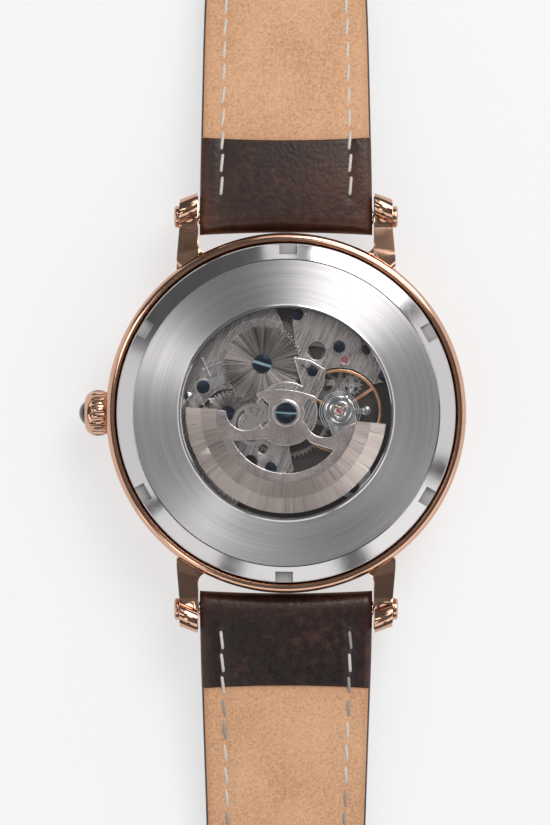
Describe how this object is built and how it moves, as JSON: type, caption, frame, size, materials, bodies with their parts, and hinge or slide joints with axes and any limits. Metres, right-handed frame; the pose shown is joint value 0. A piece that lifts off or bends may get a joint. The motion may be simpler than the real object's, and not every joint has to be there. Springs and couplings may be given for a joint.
{
  "type": "skeleton wristwatch",
  "caption": "Round automatic skeleton wristwatch with a glazed case back, fluted crown, screwed lugs and a two-piece leather strap with pin buckle.",
  "frame": {"origin": "centre of the front crystal's outer face, on the case axis", "axes": "-Z out of the front crystal, +Z out of the case back, +Y towards twelve o'clock along the strap, -X towards the crown at three o'clock"},
  "size_m": [0.0442, 0.2493, 0.0108],
  "materials": {
    "rose_gold": "polished rose-gold plating on steel",
    "case_steel": "circular-brushed steel with a polished bevel",
    "plate_metal": "rhodium-plated brass, straight-grained",
    "wheel_steel": "polished and sunburst-finished steel",
    "wheel_plated": "rhodium-plated brass, circular-grained",
    "rotor_web_metal": "frosted rhodium plating",
    "rotor_weight_metal": "radially brushed heavy alloy",
    "blued_steel": "blued and polished",
    "copper": "polished copper alloy",
    "spring_steel": "bright spring steel",
    "crystal_glass": "clear",
    "gasket_rubber": "matt black",
    "holder_plastic": "matt grey",
    "ruby": "polished synthetic ruby",
    "dial_white": "satin off-white lacquer",
    "onyx": "polished dark cabochon",
    "strap_leather": "dark brown pull-up leather, glossy",
    "strap_lining": "tan suede-like lining",
    "thread": "off-white waxed thread"
  },
  "bodies": {
    "case": {"case_middle": "rose_gold", "bezel": "rose_gold", "front_crystal": "crystal_glass", "gaskets": "gasket_rubber", "case_back": "case_steel", "back_window": "crystal_glass", "movement_holder": "holder_plastic", "crown_tube": "case_steel", "strap_bars": "case_steel", "bar_screws": "rose_gold", "dial": "dial_white", "hour_markers": "rose_gold", "main_plate": "plate_metal", "barrel_bridge": "plate_metal", "train_bridge": "plate_metal", "balance_cock": "plate_metal", "pallet_bridge": "plate_metal", "automatic_bridge": "plate_metal", "jewels": "ruby", "movement_screws": "blued_steel", "shock_setting": "wheel_plated", "regulator": "wheel_steel", "hairspring": "spring_steel", "click_spring": "spring_steel"},
    "rotor": {"rotor_carrier": "rotor_web_metal", "rotor_weight": "rotor_weight_metal", "rotor_gear": "wheel_plated", "rotor_screw": "blued_steel"},
    "reverser": {"reverser_wheel": "wheel_plated"},
    "ratchet": {"ratchet_wheel": "wheel_steel", "ratchet_screw": "blued_steel", "barrel_arbor": "wheel_steel"},
    "barrel": {"barrel": "wheel_plated", "mainspring": "spring_steel"},
    "crown_wheel": {"crown_wheel": "wheel_steel"},
    "click": {"click": "wheel_steel"},
    "clutch": {"winding_pinion": "wheel_steel", "sliding_pinion": "wheel_steel"},
    "crown": {"winding_stem": "wheel_steel", "crown": "rose_gold", "cabochon": "onyx"},
    "center": {"center_wheel": "wheel_plated", "cannon_pinion": "wheel_steel", "minute_hand": "rose_gold"},
    "third": {"third_wheel": "wheel_plated"},
    "fourth": {"fourth_wheel": "wheel_plated"},
    "escape": {"escape_wheel": "wheel_steel"},
    "minute_wheel": {"minute_wheel": "wheel_plated"},
    "hour": {"hour_wheel": "wheel_plated", "hour_hand": "rose_gold"},
    "pallets": {"pallet_fork": "wheel_steel"},
    "balance": {"balance_wheel": "copper", "balance_staff": "wheel_steel"},
    "strap_12": {"strap_12": "strap_leather", "buckle_bar": "case_steel", "fixed_keeper": "strap_leather"},
    "free_keeper": {"free_keeper": "strap_leather"},
    "buckle": {"buckle_frame": "rose_gold"},
    "tongue": {"buckle_tongue": "rose_gold"},
    "strap_6": {"strap_6": "strap_leather"}
  },
  "joints": [
    {"name": "rotor_spin", "type": "hinge", "parent": "case", "child": "rotor", "pos_m": [0, 0, 0.0085], "axis": [0, 0, 1], "continuous": true},
    {"name": "reverser_spin", "type": "hinge", "parent": "case", "child": "reverser", "pos_m": [-0.00378, -0.0013, 0.0082], "axis": [0, 0, 1], "continuous": true},
    {"name": "winding_turn", "type": "hinge", "parent": "case", "child": "clutch", "pos_m": [-0.01, 0, 0.0053], "axis": [1, 0, 0], "continuous": true},
    {"name": "crown_pull", "type": "slide", "parent": "clutch", "child": "crown", "axis": [-1, 0, 0], "range_m": [0, 0.0009]},
    {"name": "crown_wheel_spin", "type": "hinge", "parent": "case", "child": "crown_wheel", "pos_m": [-0.0066, 0, 0.0072], "axis": [0, 0, 1], "continuous": true},
    {"name": "ratchet_spin", "type": "hinge", "parent": "case", "child": "ratchet", "pos_m": [-0.0027, 0.0056, 0.0072], "axis": [0, 0, 1], "continuous": true},
    {"name": "click_pivot", "type": "hinge", "parent": "case", "child": "click", "pos_m": [-0.00945, 0.00295, 0.0072], "axis": [0, 0, 1], "range_deg": [-10, 0], "stiffness_Nm_per_rad": 0.000002},
    {"name": "seconds_spin", "type": "hinge", "parent": "case", "child": "fourth", "pos_m": [0.00671, 0.00608, 0.00475], "axis": [0, 0, 1], "continuous": true},
    {"name": "escape_spin", "type": "hinge", "parent": "case", "child": "escape", "pos_m": [0.00748, 0.00321, 0.0051], "axis": [0, 0, 1], "continuous": true},
    {"name": "third_spin", "type": "hinge", "parent": "case", "child": "third", "pos_m": [0.0032, 0.0048, 0.00615], "axis": [0, 0, 1], "continuous": true},
    {"name": "minute_spin", "type": "hinge", "parent": "case", "child": "center", "pos_m": [0, 0, 0.0059], "axis": [0, 0, 1], "continuous": true},
    {"name": "barrel_spin", "type": "hinge", "parent": "case", "child": "barrel", "pos_m": [-0.0027, 0.0056, 0.0047], "axis": [0, 0, 1], "continuous": true},
    {"name": "minute_wheel_spin", "type": "hinge", "parent": "case", "child": "minute_wheel", "pos_m": [-0.00156, -0.00156, 0.0036], "axis": [0, 0, 1], "continuous": true},
    {"name": "hour_spin", "type": "hinge", "parent": "case", "child": "hour", "pos_m": [0, 0, 0.0032], "axis": [0, 0, 1], "continuous": true},
    {"name": "pallet_pivot", "type": "hinge", "parent": "case", "child": "pallets", "pos_m": [0.00605, 0.00265, 0.0051], "axis": [0, 0, 1], "range_deg": [-5, 5]},
    {"name": "balance_swing", "type": "hinge", "parent": "case", "child": "balance", "pos_m": [0.0061, 0.0002, 0.0065], "axis": [0, 0, 1], "range_deg": [-270, 270], "stiffness_Nm_per_rad": 0.0000002, "deforming": ["hairspring"]},
    {"name": "strap_12_swing", "type": "hinge", "parent": "case", "child": "strap_12", "pos_m": [0, 0.0224, 0.0056], "axis": [1, 0, 0], "range_deg": [-25, 75]},
    {"name": "strap_6_swing", "type": "hinge", "parent": "case", "child": "strap_6", "pos_m": [0, -0.0224, 0.0056], "axis": [-1, 0, 0], "range_deg": [-25, 75]},
    {"name": "free_keeper_slide", "type": "slide", "parent": "strap_12", "child": "free_keeper", "axis": [0, -1, 0], "range_m": [0, 0.007]},
    {"name": "buckle_swing", "type": "hinge", "parent": "strap_12", "child": "buckle", "pos_m": [0, 0.0974, 0.00185], "axis": [1, 0, 0], "range_deg": [-60, 110]},
    {"name": "tongue_swing", "type": "hinge", "parent": "buckle", "child": "tongue", "pos_m": [0, 0.0974, 0.00185], "axis": [1, 0, 0], "range_deg": [-150, 0]}
  ],
  "couplings": [
    {"joint": "reverser_spin", "follows": "rotor_spin", "ratio": -0.66667},
    {"joint": "crown_wheel_spin", "follows": "winding_turn", "ratio": 0.625},
    {"joint": "ratchet_spin", "follows": "winding_turn", "ratio": -0.33333},
    {"joint": "escape_spin", "follows": "seconds_spin", "ratio": -10},
    {"joint": "third_spin", "follows": "seconds_spin", "ratio": -0.13333},
    {"joint": "minute_spin", "follows": "seconds_spin", "ratio": 0.016667},
    {"joint": "barrel_spin", "follows": "seconds_spin", "ratio": -0.0019841},
    {"joint": "minute_wheel_spin", "follows": "seconds_spin", "ratio": -0.0055556},
    {"joint": "hour_spin", "follows": "seconds_spin", "ratio": 0.0013889}
  ]
}
